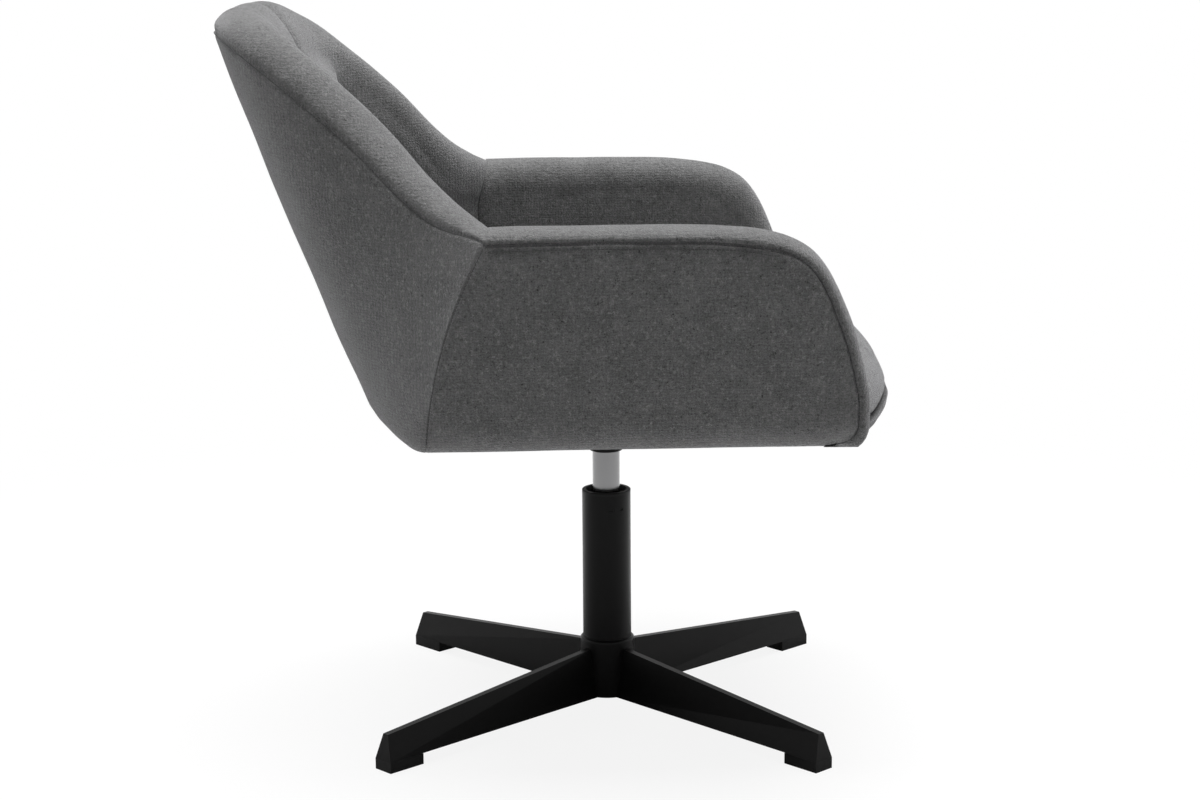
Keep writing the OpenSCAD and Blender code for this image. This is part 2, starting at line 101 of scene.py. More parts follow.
class Finish:
    """A material with one Principled shader, whose graph is written with add() and set()."""

    def __init__(self, name, **constants):
        self.material = bpy.data.materials.new(name)
        self.material.use_nodes = True
        self.tree = self.material.node_tree
        self.shader = self.tree.nodes["Principled BSDF"]
        for label, value in constants.items():
            self.shader.inputs[label.replace("_", " ")].default_value = value

    def add(self, kind, settings=None, values=None, out=0):
        made = self.tree.nodes.new(kind)
        for label, value in (settings or {}).items():
            if label == "stops":
                ramp = made.color_ramp
                while len(ramp.elements) < len(value):
                    ramp.elements.new(0.5)
                for element, (place, shade) in zip(ramp.elements, value):
                    element.position = place
                    element.color = shade if isinstance(shade, tuple) else (shade, shade, shade, 1)
            else:
                setattr(made, label, value)
        for label, value in (values or {}).items():
            socket = made.inputs[label]
            if isinstance(value, Wire):
                value = value.socket
            if isinstance(value, bpy.types.NodeSocket):
                self.tree.links.new(value, socket)
            else:
                socket.default_value = value
        return Wire(self, made.outputs[out])

    def set(self, label, wire):
        self.tree.links.new(wire.socket, self.shader.inputs[label])

    def place(self):
        """Object coordinates, in metres."""
        return self.add("ShaderNodeTexCoord", out="Object")

    def blend(self, factor, first, second):
        """A colour between two, by a factor from 0 to 1."""
        return self.add(
            "ShaderNodeMix", {"data_type": "RGBA"}, {"Factor": factor, "A": first, "B": second}, out="Result"
        )

    def bump(self, height, strength, distance):
        wire = self.add("ShaderNodeBump", None, {"Strength": strength, "Distance": distance, "Height": height})
        self.set("Normal", wire)


def grey(level, warmth=0.0):
    """A near neutral colour: a linear level, and how much redder than blue it is."""
    return (level * (1 + warmth), level, level * (1 - warmth), 1)


# ---------- the studio ----------
# A pale floor that fades to white further out, a white surround, and soft lights above and to both sides.
def studio():
    floor_size = 12.0
    mesh = bpy.data.meshes.new("floor")
    corners = [(-floor_size, -floor_size, 0), (floor_size, -floor_size, 0), (floor_size, floor_size, 0), (-floor_size, floor_size, 0)]
    mesh.from_pydata(corners, [], [(0, 1, 2, 3)])
    floor = bpy.data.objects.new("floor", mesh)
    scene.collection.objects.link(floor)
    pale = Finish("floor_pale", Roughness=0.9)
    pale.shader.inputs["Base Color"].default_value = (0.86, 0.86, 0.86, 1)
    pale.shader.inputs["Specular IOR Level"].default_value = 0.0
    place = pale.place()
    across = pale.add("ShaderNodeVectorMath", {"operation": "LENGTH"}, {0: place}, out="Value")
    fade = pale.add(
        "ShaderNodeMapRange", {"interpolation_type": "SMOOTHSTEP"},
        {"Value": across, "From Min": 0.25, "From Max": 1.4, "To Min": 0.88, "To Max": 1.0},
    )
    camera_ray = pale.add("ShaderNodeLightPath", out="Is Camera Ray")
    white = pale.add("ShaderNodeEmission", None, {"Color": (1, 1, 1, 1), "Strength": 1.0})
    mixed = pale.add(
        "ShaderNodeMixShader", None, {0: fade * camera_ray, 1: pale.shader.outputs[0], 2: white}
    )
    under = pale.add("ShaderNodeNewGeometry", out="Backfacing")
    clear = pale.add("ShaderNodeBsdfTransparent")
    seen_through = pale.add("ShaderNodeMixShader", None, {0: under, 1: mixed, 2: clear})
    output = pale.tree.nodes["Material Output"]
    pale.tree.links.new(seen_through.socket, output.inputs["Surface"])
    mesh.materials.append(pale.material)

    world = bpy.data.worlds.new("surround")
    scene.world = world
    world.use_nodes = True
    tree = world.node_tree
    path = tree.nodes.new("ShaderNodeLightPath")
    seen = tree.nodes.new("ShaderNodeMath")
    seen.operation = "MAXIMUM"
    tree.links.new(path.outputs["Is Camera Ray"], seen.inputs[0])
    tree.links.new(path.outputs["Is Glossy Ray"], seen.inputs[1])
    level = tree.nodes.new("ShaderNodeMapRange")
    level.inputs["To Min"].default_value = 0.15
    level.inputs["To Max"].default_value = 1.0
    tree.links.new(seen.outputs[0], level.inputs["Value"])
    tree.links.new(level.outputs[0], tree.nodes["Background"].inputs["Strength"])
    tree.nodes["Background"].inputs["Color"].default_value = (1, 1, 1, 1)

    def softbox(name, centre, aim, size, watts):
        data = bpy.data.lights.new(name, "AREA")
        data.shape = "RECTANGLE"
        data.size = size[0]
        data.size_y = size[1]
        data.energy = watts
        lamp = bpy.data.objects.new(name, data)
        lamp.matrix_world = Matrix.Translation(centre) @ (Vector(aim) - Vector(centre)).to_track_quat("-Z", "Y").to_matrix().to_4x4()
        scene.collection.objects.link(lamp)

    softbox("overhead", (0.0, 0.2, 3.0), (0, 0, 0.5), (2.6, 2.6), 205)
    softbox("rear_side", (-3.0, 0.6, 1.4), (-0.1, 0, 0.45), (1.4, 2.2), 9)
    softbox("front_side", (3.0, 0.4, 1.2), (0.1, 0, 0.4), (1.4, 2.2), 12)


studio()


# ---------- the cloth ----------
# One charcoal cloth covers every pad: a felted melange weave with pale and dark fibres 1 to 3 mm long,
# faint threads both ways under the nap, and a soft sheen along the edges. It is cut and sewn from the roll.
def cloth_finish(name, level):
    cloth = Finish(name, Roughness=0.93)
    shader = cloth.shader
    shader.inputs["Specular IOR Level"].default_value = 0.18
    shader.inputs["Sheen Weight"].default_value = 0.35
    shader.inputs["Sheen Roughness"].default_value = 0.45
    shader.inputs["Sheen Tint"].default_value = (0.8, 0.8, 0.82, 1)
    place = cloth.place()

    def noise_at(scale, detail=2.0, distortion=0.0, roughness=0.5):
        return cloth.add(
            "ShaderNodeTexNoise", None,
            {"Vector": place, "Scale": scale, "Detail": detail, "Distortion": distortion, "Roughness": roughness},
        )

    def thread(direction, per_metre):
        turned = cloth.add("ShaderNodeMapping", None, {"Vector": place, "Rotation": direction})
        return cloth.add(
            "ShaderNodeTexWave", {"wave_type": "BANDS", "bands_direction": "X"},
            {"Vector": turned, "Scale": per_metre, "Distortion": 7.0, "Detail": 3.0, "Detail Scale": 2.5},
        )

    # Short curled fibres: thin contours of a noise, broken up by a second one
    curl = noise_at(300.0, detail=2.5, distortion=1.4)
    fibre = cloth.add(
        "ShaderNodeMapRange", {"interpolation_type": "SMOOTHSTEP"},
        {"Value": (curl - 0.5).math("ABSOLUTE"), "From Min": 0.0, "From Max": 0.04, "To Min": 1.0, "To Max": 0.0},
    )
    breaks = noise_at(260.0, detail=1.0)
    dark_fibre = fibre * (breaks - 0.52).math("MULTIPLY", 7.0, clamp=True)
    pale_fibre = fibre * (0.46 - breaks).math("MULTIPLY", 9.0, clamp=True)
    speck = noise_at(900.0, detail=3.0, roughness=0.7)
    patch = noise_at(38.0, detail=4.0, roughness=0.6)
    across = thread((0.0, 0.0, 0.0), 105.0)
    up = thread((0.0, math.radians(90), 0.0), 105.0)
    mottle = (speck - 0.5) * 0.75 + (patch - 0.5) * 0.24 + (across - 0.5) * 0.04 + (up - 0.5) * 0.05
    tone = mottle + pale_fibre * 0.42 - dark_fibre * 0.55 + 0.5
    shade = cloth.add("ShaderNodeMapRange", None, {"Value": tone, "From Min": 0.18, "From Max": 0.82})
    cloth.set("Base Color", cloth.blend(shade, grey(level * 0.16), grey(level * 2.05)))
    height = speck * 0.6 + across * 0.3 + up * 0.3 + pale_fibre * 0.4 - dark_fibre * 0.4 + patch * 0.3
    cloth.bump(height, 0.85, 0.0010)
    return cloth.material


charcoal_cloth = cloth_finish("charcoal_cloth", 0.082)

# ---------- the shell's shape ----------
# The padded wall runs from the front of one arm, round the back, to the front of the other. A station is a
# slice through it: a low point and a top point on its outer face, the way inwards, the way its rim
# crowns, and its thickness at both. Every slice has the same levels, so that the sewn lines meet.
low_corner, high_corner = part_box("back_pad")
arm_low, arm_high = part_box("arm_pad_left")
floor_of_shell = float(low_corner[2])
back_top = float(high_corner[2])
arm_top = 0.535
half_width = float(arm_high[1])
half_under = 0.305
inner_half = float(arm_low[1])
seam_top_x = -0.119
seam_lean = 0.2835
rear_low_x = -0.233
back_mid_x = float(low_corner[0]) + 0.030
edge_round = 0.030
rim_drop = 0.024          # how far its round goes down the inner face
rim_shape = 2.3           # 2 would be an ellipse across the rim; more is fuller
bed = 0.352               # height of the cushion's bed, where the inner faces end
seam_bow = 0.013          # how far the corner seam bows to the rear, half way up

rim_course = np.array([
    # turn from the arm in degrees; shares of the way back, of the half width and of the way up
    [0, 0, 1, 0], [9, 0.075, 0.935, 0.055], [18, 0.16, 0.875, 0.13], [27, 0.265, 0.82, 0.25],
    [38, 0.45, 0.745, 0.50], [48, 0.66, 0.68, 0.735], [57, 0.80, 0.61, 0.875], [66, 0.905, 0.49, 0.965],
    [77, 0.968, 0.29, 1.0], [90, 1, 0, 0.99],
])


def smooth_through(xs, ys):
    """A smooth curve through points, as a function: cubic between them, with the slopes of its neighbours."""
    xs, ys = np.asarray(xs, float), np.asarray(ys, float)
    slopes = np.gradient(ys, xs)

    def at(x):
        x = min(max(x, xs[0]), xs[-1])
        k = min(bisect.bisect_right(xs.tolist(), x), len(xs) - 1) - 1
        width = xs[k + 1] - xs[k]
        s = (x - xs[k]) / width
        return (
            (2 * s**3 - 3 * s**2 + 1) * ys[k] + (s**3 - 2 * s**2 + s) * width * slopes[k]
            + (3 * s**2 - 2 * s**3) * ys[k + 1] + (s**3 - s**2) * width * slopes[k + 1]
        )

    return at


rim_back = smooth_through(rim_course[:, 0], rim_course[:, 1])
rim_wide = smooth_through(rim_course[:, 0], rim_course[:, 2])
rim_up = smooth_through(rim_course[:, 0], rim_course[:, 3])


def mix(a, b, t):
    return a + (b - a) * t


def ease(x, start, end):
    t = min(max((x - start) / (end - start), 0.0), 1.0)
    return t * t * (3 - 2 * t)


def bell(x, width):
    return math.exp(-((x / width) ** 2))


def seam_x(z):
    return seam_top_x + (z - arm_top) * seam_lean


class Station:
    """One slice of the wall: a line up its outer face, the way inwards, and the way that its rim crowns."""

    def __init__(self, low, top, inward, crown, thick_low, thick_top, rim_high, lift_way=(0, 0, 1), drop=rim_drop):
        self.low = np.array(low, float)
        self.top = np.array(top, float)
        self.inward = np.array(inward, float)
        self.crown = np.array(crown, float)
        self.thick_low = thick_low
        self.thick_top = thick_top
        self.rim_high = rim_high
        self.lift_way = np.array(lift_way, float)
        self.rim_drop = drop

    def rounded(self, point, depth):
        """The point, moved inwards where the shell's lower edge is rounded."""
        over = point[2] - floor_of_shell
        if depth < edge_round and over < edge_round:
            share = max(min(1 - over / edge_round, 1), 0)
            least = edge_round * (1 - math.sqrt(max(1 - share * share, 0)))
            point = point + self.inward * max(least - depth, 0)
        return point

    def outer(self, s):
        return self.rounded(mix(self.low, self.top, s), 0)

    def rim(self, turn):
        """A point over the rim, for a turn of 0 at its outer seam to 180 at the top of the inner face."""
        c, s = math.cos(math.radians(turn)), math.sin(math.radians(turn))
        across = (1 - math.copysign(abs(c) ** (2 / rim_shape), c)) / 2
        if turn <= 90:
            rise = self.rim_high * abs(s) ** (2 / rim_shape)
        else:
            rise = (self.rim_high + self.rim_drop) * abs(s) ** (2 / rim_shape) - self.rim_drop
        depth = across * self.thick_top
        way = mix(self.lift_way, self.crown, ease(turn, 30, 180))
        return self.rounded(self.top + self.inward * depth + way * rise, depth)

    def inner(self, s):
        """A point on the inner face, for 0 at the cushion's bed to 1 where the rim begins."""
        head = self.top - self.crown * self.rim_drop
        share = min(max((bed - floor_of_shell) / max(head[2] - floor_of_shell, 1e-6), 0.0), 0.98)
        along = mix(share, 1, s)
        return mix(self.low, head, along) + self.inward * mix(self.thick_low, self.thick_top, along)


outer_levels = [0.0, 0.012, 0.03, 0.05, 0.075, 0.10, 0.13, 0.17] + [0.17 + 0.76 * k / 30 for k in range(1, 31)]
outer_levels += [0.945, 0.958, 0.968, 0.977, 0.984, 0.990, 0.995, 1.0]
rim_levels = [5, 10, 16] + list(range(22, 178, 6)) + [180]
inner_levels = [1 - k / 52 for k in range(1, 53)]
under_levels = 2


def slice_points(station, outer_push, rim_push, inner_push):
    """The closed ring of a slice. The push functions give how far a point stands proud, in metres."""
    base = station.low + np.array([0.0, 0.0, 0.0035])
    ring = [base + station.inward * 0.034, station.low + station.inward * 0.031 + np.array([0.0, 0.0, 0.0008])]
    for s in outer_levels:
        point = station.outer(s)
        ring.append(point - station.inward * outer_push(s, point))
    for turn in rim_levels:
        point = station.rim(turn)
        c, up = math.cos(math.radians(turn)), math.sin(math.radians(turn))
        ring.append(point + (station.crown * up - station.inward * c) * rim_push(turn, point))
    for s in inner_levels:
        point = station.inner(s)
        ring.append(point + station.inward * inner_push(s, point))
    return ring


def solid(name, rings, material, last_middle=None):
    """A closed mesh through rings of points, its faces turned outwards. Its ends close on their middles."""
    count = len(rings[0])
    points = [tuple(point) for ring in rings for point in ring]
    faces = [
        (i * count + j, i * count + (j + 1) % count, (i + 1) * count + (j + 1) % count, (i + 1) * count + j)
        for i in range(len(rings) - 1) for j in range(count)
    ]
    ends = ((0, np.mean(rings[0], axis=0)), ((len(rings) - 1) * count, last_middle))
    for first, centre in ends:
        middle = len(points)
        points.append(tuple(np.mean(rings[-1], axis=0) if centre is None else centre))
        faces += [(first + j, first + (j + 1) % count, middle) for j in range(count)]
    mesh = bpy.data.meshes.new(name)
    mesh.from_pydata(points, [], faces)
    work = bmesh.new()
    work.from_mesh(mesh)
    bmesh.ops.recalc_face_normals(work, faces=work.faces)
    work.to_mesh(mesh)
    work.free()
    mesh.polygons.foreach_set("use_smooth", [True] * len(mesh.polygons))
    mesh.materials.append(material)
    piece = bpy.data.objects.new(name, mesh)
    scene.collection.objects.link(piece)
    return piece


def upholstered(piece, node):
    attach(piece, "seat")
    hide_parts(node)


def ruffle(point, amount, size):
    """Small unevenness of foam under cloth, the same each run."""
    return amount * noise.noise(Vector(point) / size)


# ---------- the back ----------
# A foam back on a plywood board, in a cover of five channels: a broad one in the middle, one to each side
# and the wings. The channels' seams run over the rim and fade; a cord seam joins the rear panel outside.
channel_turns = (-30.0, -11.0, 11.0, 30.0)
back_edges = (-90.0,) + channel_turns + (90.0,)
channel_full = 0.0115
pinch_z = 0.592


def back_station(turn):
    """turn runs from -90 at the right arm, through 0 in the middle, to 90 at the left arm."""
    c, s = math.cos(math.radians(turn)), math.sin(math.radians(turn))
    side = 90 - abs(turn)
    inward = np.array((c, -s, 0))
    thick_low = mix(half_under - inner_half, 0.060, c)
    thick_top = mix(half_width - inner_half, 0.060, c)
    rim_high = mix(0.009, 0.022, ease(side, 1, 24))
    low_x = seam_x(floor_of_shell)
    low = np.array((low_x + (rear_low_x - low_x) * c, half_under * s, floor_of_shell))
    middle = np.array((
        mix(seam_top_x, back_mid_x, rim_back(side)),
        math.copysign((half_width + inner_half) / 2 * rim_wide(side), turn),
        mix(arm_top, back_top, rim_up(side)) - rim_high,
    ))
    top = middle - inward * thick_top / 2
    crown = (top - low) / np.linalg.norm(top - low)
    return Station(low, top, inward, crown, thick_low, thick_top, rim_high)


def back_outer_push(turn, s, point):
    belly = 0.005 * math.sin(math.pi * s) * (1 - 0.6 * (abs(turn) / 90) ** 4)
    corner = 0.0018 * bell(90 - abs(turn), 1.0)
    return belly - 0.0013 * bell(s - 1.0, 0.008) - corner + ruffle(point, 0.0014, 0.07)


def back_rim_push(turn, over, point):
    groove = sum(bell(turn - edge, 1.5) for edge in channel_turns[1:3])
    share = ease(over, 30, 120)
    return ruffle(point, 0.0009, 0.045) - 0.0050 * groove * share + 0.003 * share - 0.0020 * bell(over, 12)


def back_inner_push(turn, s, point):
    k = min(max(bisect.bisect_right(back_edges, turn), 1), len(back_edges) - 1)
    left, right = back_edges[k - 1], back_edges[k]
    q = min(abs(2 * (turn - left) / (right - left) - 1), 1.0)
    z = point[2]
    swell = channel_full * (1 - q**3.2) ** 0.75
    if abs(turn) > 30:
        swell *= 0.45 * (1.0 - 0.5 * ease(z, 0.58, 0.68)) * (1 - 0.6 * ease(abs(turn), 55, 88))
    swell = mix(swell, channel_full * 0.7, bell(abs(turn) - 30, 7) * ease(z, 0.62, 0.69))
    swell -= 0.009 * bell(abs(turn) - 30, 5.0) * bell(z - pinch_z, 0.032)
    rim_join = ease(s, 1.0, 0.90)
    return mix(0.003, swell, rim_join) - 0.0030 * sum(
        bell(turn - edge, 1.5) for edge in channel_turns[1:3]) * (1 - rim_join) + ruffle(point, 0.0012, 0.05)


def back_slice(turn):
    ring = slice_points(
        back_station(turn),
        lambda s, p: back_outer_push(turn, s, p),
        lambda over, p: back_rim_push(turn, over, p),
        lambda s, p: back_inner_push(turn, s, p),
    )
    near_arm = (abs(turn) / 90) ** 10
    outer_end = under_levels + len(outer_levels)
    for index, point in enumerate(ring):
        if index < outer_end:
            up = (point[2] - floor_of_shell) / (arm_top - floor_of_shell)
            shift = -seam_bow * math.sin(math.pi * min(max(up, 0), 1)) * near_arm
        elif index >= outer_end + len(rim_levels):
            shift = (-0.127 - seam_x(point[2])) * near_arm * ease(arm_top - point[2], 0.02, 0.08)
        else:
            shift = 0.0
        ring[index] = point + np.array([shift, 0.0, 0.0])
    return ring


def back_turns():
    turns = set(np.round(np.linspace(-90, 90, 85), 3).tolist())
    for edge in channel_turns:
        turns |= {edge + d for d in (-1.8, -1.0, -0.5, -0.2, 0.0, 0.2, 0.5, 1.0, 1.8)}
    turns |= {side * (90 - d) for side in (-1, 1) for d in (0.3, 0.7, 1.2, 1.8)}
    kept = []
    for turn in sorted(turns):
        if not kept or turn - kept[-1] > 0.12:
            kept.append(turn)
    return kept


back = solid("back", [back_slice(turn) for turn in back_turns()], charcoal_cloth)
upholstered(back, "back_pad")

# ---------- the arms ----------
# Foam over a plywood side panel. A boxed cover: an outer panel, and one strip over the top and down the
# front, joined by a seam with a second row of stitches below it. The arm flares 25 mm from its foot.
arm_edge = np.array([
    # the outline of an arm from the side, from the corner of the back to the foot: x, z
    [-0.119, 0.535], [-0.085, 0.5355], [-0.04, 0.536], [0.01, 0.536], [0.06, 0.5355], [0.095, 0.534],
    [0.127, 0.530], [0.150, 0.5235], [0.168, 0.5130], [0.181, 0.498], [0.190, 0.482], [0.198, 0.463],
    [0.208, 0.437], [0.216, 0.408], [0.2215, 0.381], [0.2222, 0.362], [0.2218, 0.351], [0.2190, 0.3420], [0.2130, 0.3350],
])
edge_steps = np.linalg.norm(np.diff(arm_edge, axis=0), axis=1)
edge_run = np.concatenate([[0.0], np.cumsum(edge_steps)]) / edge_steps.sum()
edge_x = smooth_through(edge_run, arm_edge[:, 0])
edge_z = smooth_through(edge_run, arm_edge[:, 1])
foot_x = smooth_through(
    [0.0, 0.2, 0.45, 0.62, 0.75, 0.88, 1.0],
    [seam_x(floor_of_shell), -0.085, 0.045, 0.125, 0.168, 0.192, 0.200],
)
arm_rim_high = 0.009


def arm_station(side, u):
    """u runs along the arm's edge from the back's corner to the foot of its front."""
    step = 0.004
    run_x = edge_x(min(u + step, 1)) - edge_x(max(u - step, 0))
    run_z = edge_z(min(u + step, 1)) - edge_z(max(u - step, 0))
    outward = np.array((-run_z, 0, run_x)) / math.hypot(run_x, run_z)
    first = back_station(90.0 * side)
    place = np.array((edge_x(u), 0, edge_z(u))) - outward * arm_rim_high
    share = (place[2] - floor_of_shell) / (arm_top - arm_rim_high - floor_of_shell)
    place[1] = side * mix(half_under, half_width, share)
    low = np.array((foot_x(u), side * half_under, floor_of_shell))
    join = ease(u, 0.0, 0.10)
    crown = mix(first.crown, outward, join)
    return Station(
        mix(first.low, low, ease(u, 0.0, 0.02)), mix(first.top, place, ease(u, 0.0, 0.02)),
        (0, -side, 0), crown / np.linalg.norm(crown),
        half_under - inner_half, abs(place[1]) - inner_half, arm_rim_high, outward,
        mix(rim_drop, 0.002, ease(u, 0.80, 0.94)),
    )


def arm_slice(side, u):
    station = arm_station(side, u)
    tall = np.linalg.norm(station.top - station.low)
    second_row = 1 - 0.0055 / tall
    upright = ease(tall, 0.02, 0.14)
    rows = 1 - ease(u, 0.50, 0.56)

    def outer_push(s, point):
        belly = 0.0045 * math.sin(math.pi * s) * upright
        grooves = 0.0020 * bell((s - 1.0) * tall, 0.0016) + 0.0009 * rows * bell((s - second_row) * tall, 0.0013)
        corner = 0.0018 * bell(u, 0.006)
        fold = 0.0022 * bell(point[2] - 0.349 + 0.35 * (0.222 - point[0]), 0.006) * ease(point[0], 0.15, 0.20)
        return belly - grooves - corner - fold + ruffle(point, 0.0014, 0.06)

    def rim_push(over, point):
        return ruffle(point, 0.0010, 0.045) + 0.0035 * math.sin(math.radians(over)) - 0.0020 * bell(over, 14)

    def inner_push(s, point):
        return 0.0030 * math.sin(math.pi * s) * upright + ruffle(point, 0.0009, 0.05) * s - 0.0022 * bell(u, 0.006)

    ring = slice_points(station, outer_push, rim_push, inner_push)
    near_back = (1 - ease(u, 0.0, 0.22)) ** 2
    outer_end = under_levels + len(outer_levels)
    for index, point in enumerate(ring):
        if index < outer_end:
            up = (point[2] - floor_of_shell) / (arm_top - floor_of_shell)
            shift = -seam_bow * math.sin(math.pi * min(max(up, 0), 1)) * near_back
        elif index >= outer_end + len(rim_levels):
            shift = (-0.127 - seam_x(point[2])) * near_back * ease(arm_top - point[2], 0.02, 0.08)
        else:
            shift = 0.0
        ring[index] = point + np.array([shift, 0.0, 0.0])
    return ring


arm_runs = [0.0, 0.002, 0.005, 0.009, 0.014] + [0.02 + 0.98 * k / 92 for k in range(93)]
for side, name in ((-1, "right"), (1, "left")):
    foot = (0.184, side * 0.288, floor_of_shell + 0.0014)
    arm = solid("arm_" + name, [arm_slice(side, u) for u in arm_runs], charcoal_cloth, foot)
    upholstered(arm, "arm_pad_" + name)

# ---------- the front band ----------
# A strip of the same cloth over the board's front edge, under the cushion. It bows forward 50 mm in the
# middle and rolls under to the dust cover.
cushion_low, cushion_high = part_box("seat_cushion")
front_x = float(cushion_high[0]) - 0.009
half_seat = float(cushion_high[1])
front_bow = 0.050


def front_edge(y):
    return front_x - front_bow * (abs(y) / half_seat) ** 2


band_profile = [
    # set back from the cushion's front edge, height above the shell's floor
    (0.080, 0.003), (0.060, 0.0012), (0.040, 0.0), (0.028, 0.0006), (0.0185, 0.0022), (0.0115, 0.0046),
    (0.0062, 0.0078), (0.0028, 0.0112), (0.0008, 0.0145), (0.0004, 0.0170), (0.0016, 0.0188), (0.0060, 0.0196),
    (0.030, 0.0196), (0.080, 0.0196),
]
band_rings = []
for k in range(81):
    y = mix(-half_seat, half_seat, k / 80)
    end = bell(half_seat - abs(y), 0.006)
    ring = []
    for back_by, up in band_profile:
        x = front_edge(y) - back_by + 0.0015 - 0.002 * end * (1 - ease(back_by, 0.02, 0.04))
        wave = ruffle((x, y, up), 0.0012, 0.04) * (1 - ease(back_by, 0.03, 0.05))
        ring.append(np.array((x + wave, y, floor_of_shell + up)))
    band_rings.append(ring)
band = solid("front_band", band_rings, charcoal_cloth)
upholstered(band, "front_pad")

# ---------- the cushion ----------
# A loose foam cushion, 66 mm thick, cut to the room between the arms and the back, with a rolled front
# edge that stands 8 mm over the band. Its cloth pulls in at the corners and its top crowns by a few mm.
cushion_gap = 0.010


def cushion_plan():
    """The cushion's outline from above, as points from the front right corner round by the left and rear."""
    corner = 0.022
    front = [(front_edge(y), y) for y in np.linspace(-half_seat, half_seat, 61)]
    rear = []
    for turn in np.linspace(88, -88, 71):
        station = back_station(turn)
        s = (0.375 - floor_of_shell) / (station.top[2] - floor_of_shell)
        depth = mix(station.thick_low, station.thick_top, s) + cushion_gap
        point = mix(station.low, station.top, s) + station.inward * depth
        rear.append((point[0], max(min(point[1], half_seat), -half_seat)))
    sides_left = [(x, half_seat) for x in np.linspace(front_edge(half_seat), rear[0][0], 30)[1:-1]]
    sides_right = [(x, -half_seat) for x in np.linspace(rear[-1][0], front_edge(half_seat), 30)[1:-1]]
    outline = np.array(front + sides_left + rear + sides_right)
    for _ in range(5):
        outline = (np.roll(outline, 1, 0) + 2 * outline + np.roll(outline, -1, 0)) / 4
    return outline


def cushion_mesh(shrink=0.0):
    outline = cushion_plan()
    ahead = np.roll(outline, -1, 0) - np.roll(outline, 1, 0)
    ahead /= np.linalg.norm(ahead, axis=1)[:, None]
    inward = np.stack([-ahead[:, 1], ahead[:, 0]], axis=1)
    centre = outline.mean(axis=0)
    bottom, top = float(cushion_low[2]), float(cushion_high[2])
    edge = [
        (0.030, 0.0), (0.010, 0.0004), (0.0040, 0.0016), (0.0012, 0.0042), (0.0002, 0.0085), (0.0004, 0.0145),
        (0.0020, 0.0215), (0.0050, 0.0290), (0.0090, 0.0360), (0.0145, 0.0430), (0.0215, 0.0490), (0.0300, 0.0540),
        (0.0400, 0.0580), (0.0520, 0.0610),
    ]
    rings = []
    for k in (0.15, 0.5, 0.8):
        rings.append([np.array((*(mix(centre, p, k)), bottom)) for p in outline])
    for inset, up in edge:
        rings.append([
            np.array((
                *(p + n * (inset * mix(0.4, 1.0, ease(p[0], 0.14, 0.24)) + shrink)),
                bottom + up + (shrink if up < 0.03 else -shrink),
            ))
            for p, n in zip(outline, inward)
        ])
    base = [p + n * (0.052 * mix(0.4, 1.0, ease(p[0], 0.14, 0.24)) + shrink) for p, n in zip(outline, inward)]
    for k in (0.93, 0.85, 0.76, 0.66, 0.55, 0.43, 0.30, 0.16, 0.05):
        crown = 0.0050 * (1 - k**2.2)
        ring = []
        for p in base:
            at = mix(centre, p, k)
            z = bottom + 0.061 + crown - shrink
            ring.append(np.array((at[0], at[1], z + ruffle((at[0], at[1], 0.0), 0.0022, 0.11))))
        rings.append(ring)
    for ring in rings:
        for point in ring:
            point[2] -= 0.009 * ease(point[0], 0.08, 0.25) * ease(point[2], bottom + 0.01, top)
    return rings


def plump(piece, voxel, most):
    """Swells a pad's cover by air pressure, as cloth. No point moves further than the most that is given."""
    remesh = piece.modifiers.new("even mesh", "REMESH")
    remesh.mode = "VOXEL"
    remesh.voxel_size = voxel
    cover = piece.modifiers.new("cover", "CLOTH")
    cover.settings.quality = 5
    cover.settings.mass = 0.3
    cover.settings.use_pressure = True
    cover.settings.uniform_pressure_force = 4.0
    cover.settings.effector_weights.gravity = 0.0
    cover.point_cache.frame_start, cover.point_cache.frame_end = 1, 20
    for frame_now in range(1, 21):
        scene.frame_set(frame_now)
    at_end = bpy.data.meshes.new_from_object(piece.evaluated_get(bpy.context.evaluated_depsgraph_get()))
    piece.modifiers.remove(cover)
    scene.frame_set(1)
    at_start = bpy.data.meshes.new_from_object(piece.evaluated_get(bpy.context.evaluated_depsgraph_get()))
    piece.modifiers.remove(remesh)
    start = np.array([v.co for v in at_start.vertices])
    moved = np.array([v.co for v in at_end.vertices]) - start
    far = np.linalg.norm(moved, axis=1)[:, None]
    moved *= np.minimum(1.0, most / np.maximum(far, 1e-9))
    end = start + moved
    end[:, 2] = np.clip(end[:, 2], float(cushion_low[2]), float(cushion_high[2]) + 0.006)
    full_width = (half_seat + 0.0012) / np.abs(end[:, 1]).max()
    end[:, 1] = np.clip(end[:, 1] * full_width * 1.004, -half_seat - 0.0006, half_seat + 0.0006)
    # The front's lower corner is sewn to the band's edge
    for point in end:
        short = front_edge(point[1]) - 0.001 - point[0]
        near = 1 - ease(point[2], float(cushion_low[2]) + 0.004, float(cushion_low[2]) + 0.022)
        if short < 0.020:
            point[0] += short * near * (1 - ease(short, 0.010, 0.020))
    at_start.vertices.foreach_set("co", end.ravel())
    piece.data = at_start
    finer = piece.modifiers.new("finer", "SUBSURF")
    finer.levels = 1
    smooth = bpy.data.meshes.new_from_object(piece.evaluated_get(bpy.context.evaluated_depsgraph_get()))
    piece.modifiers.remove(finer)
    piece.data = smooth
    smooth.polygons.foreach_set("use_smooth", [True] * len(smooth.polygons))


cushion = solid("cushion", cushion_mesh(0.001), charcoal_cloth)
plump(cushion, 0.006, 0.006)
upholstered(cushion, "seat_cushion")

# ---------- seams and stitches ----------
# Dark polyester thread, in stitches 2.7 mm long: round the outer edge of the rim, a second row below it on
# the arms, and up both corners between arm and back.
thread = Finish("thread", Roughness=0.6)
thread.shader.inputs["Base Color"].default_value = (0.02, 0.02, 0.021, 1)


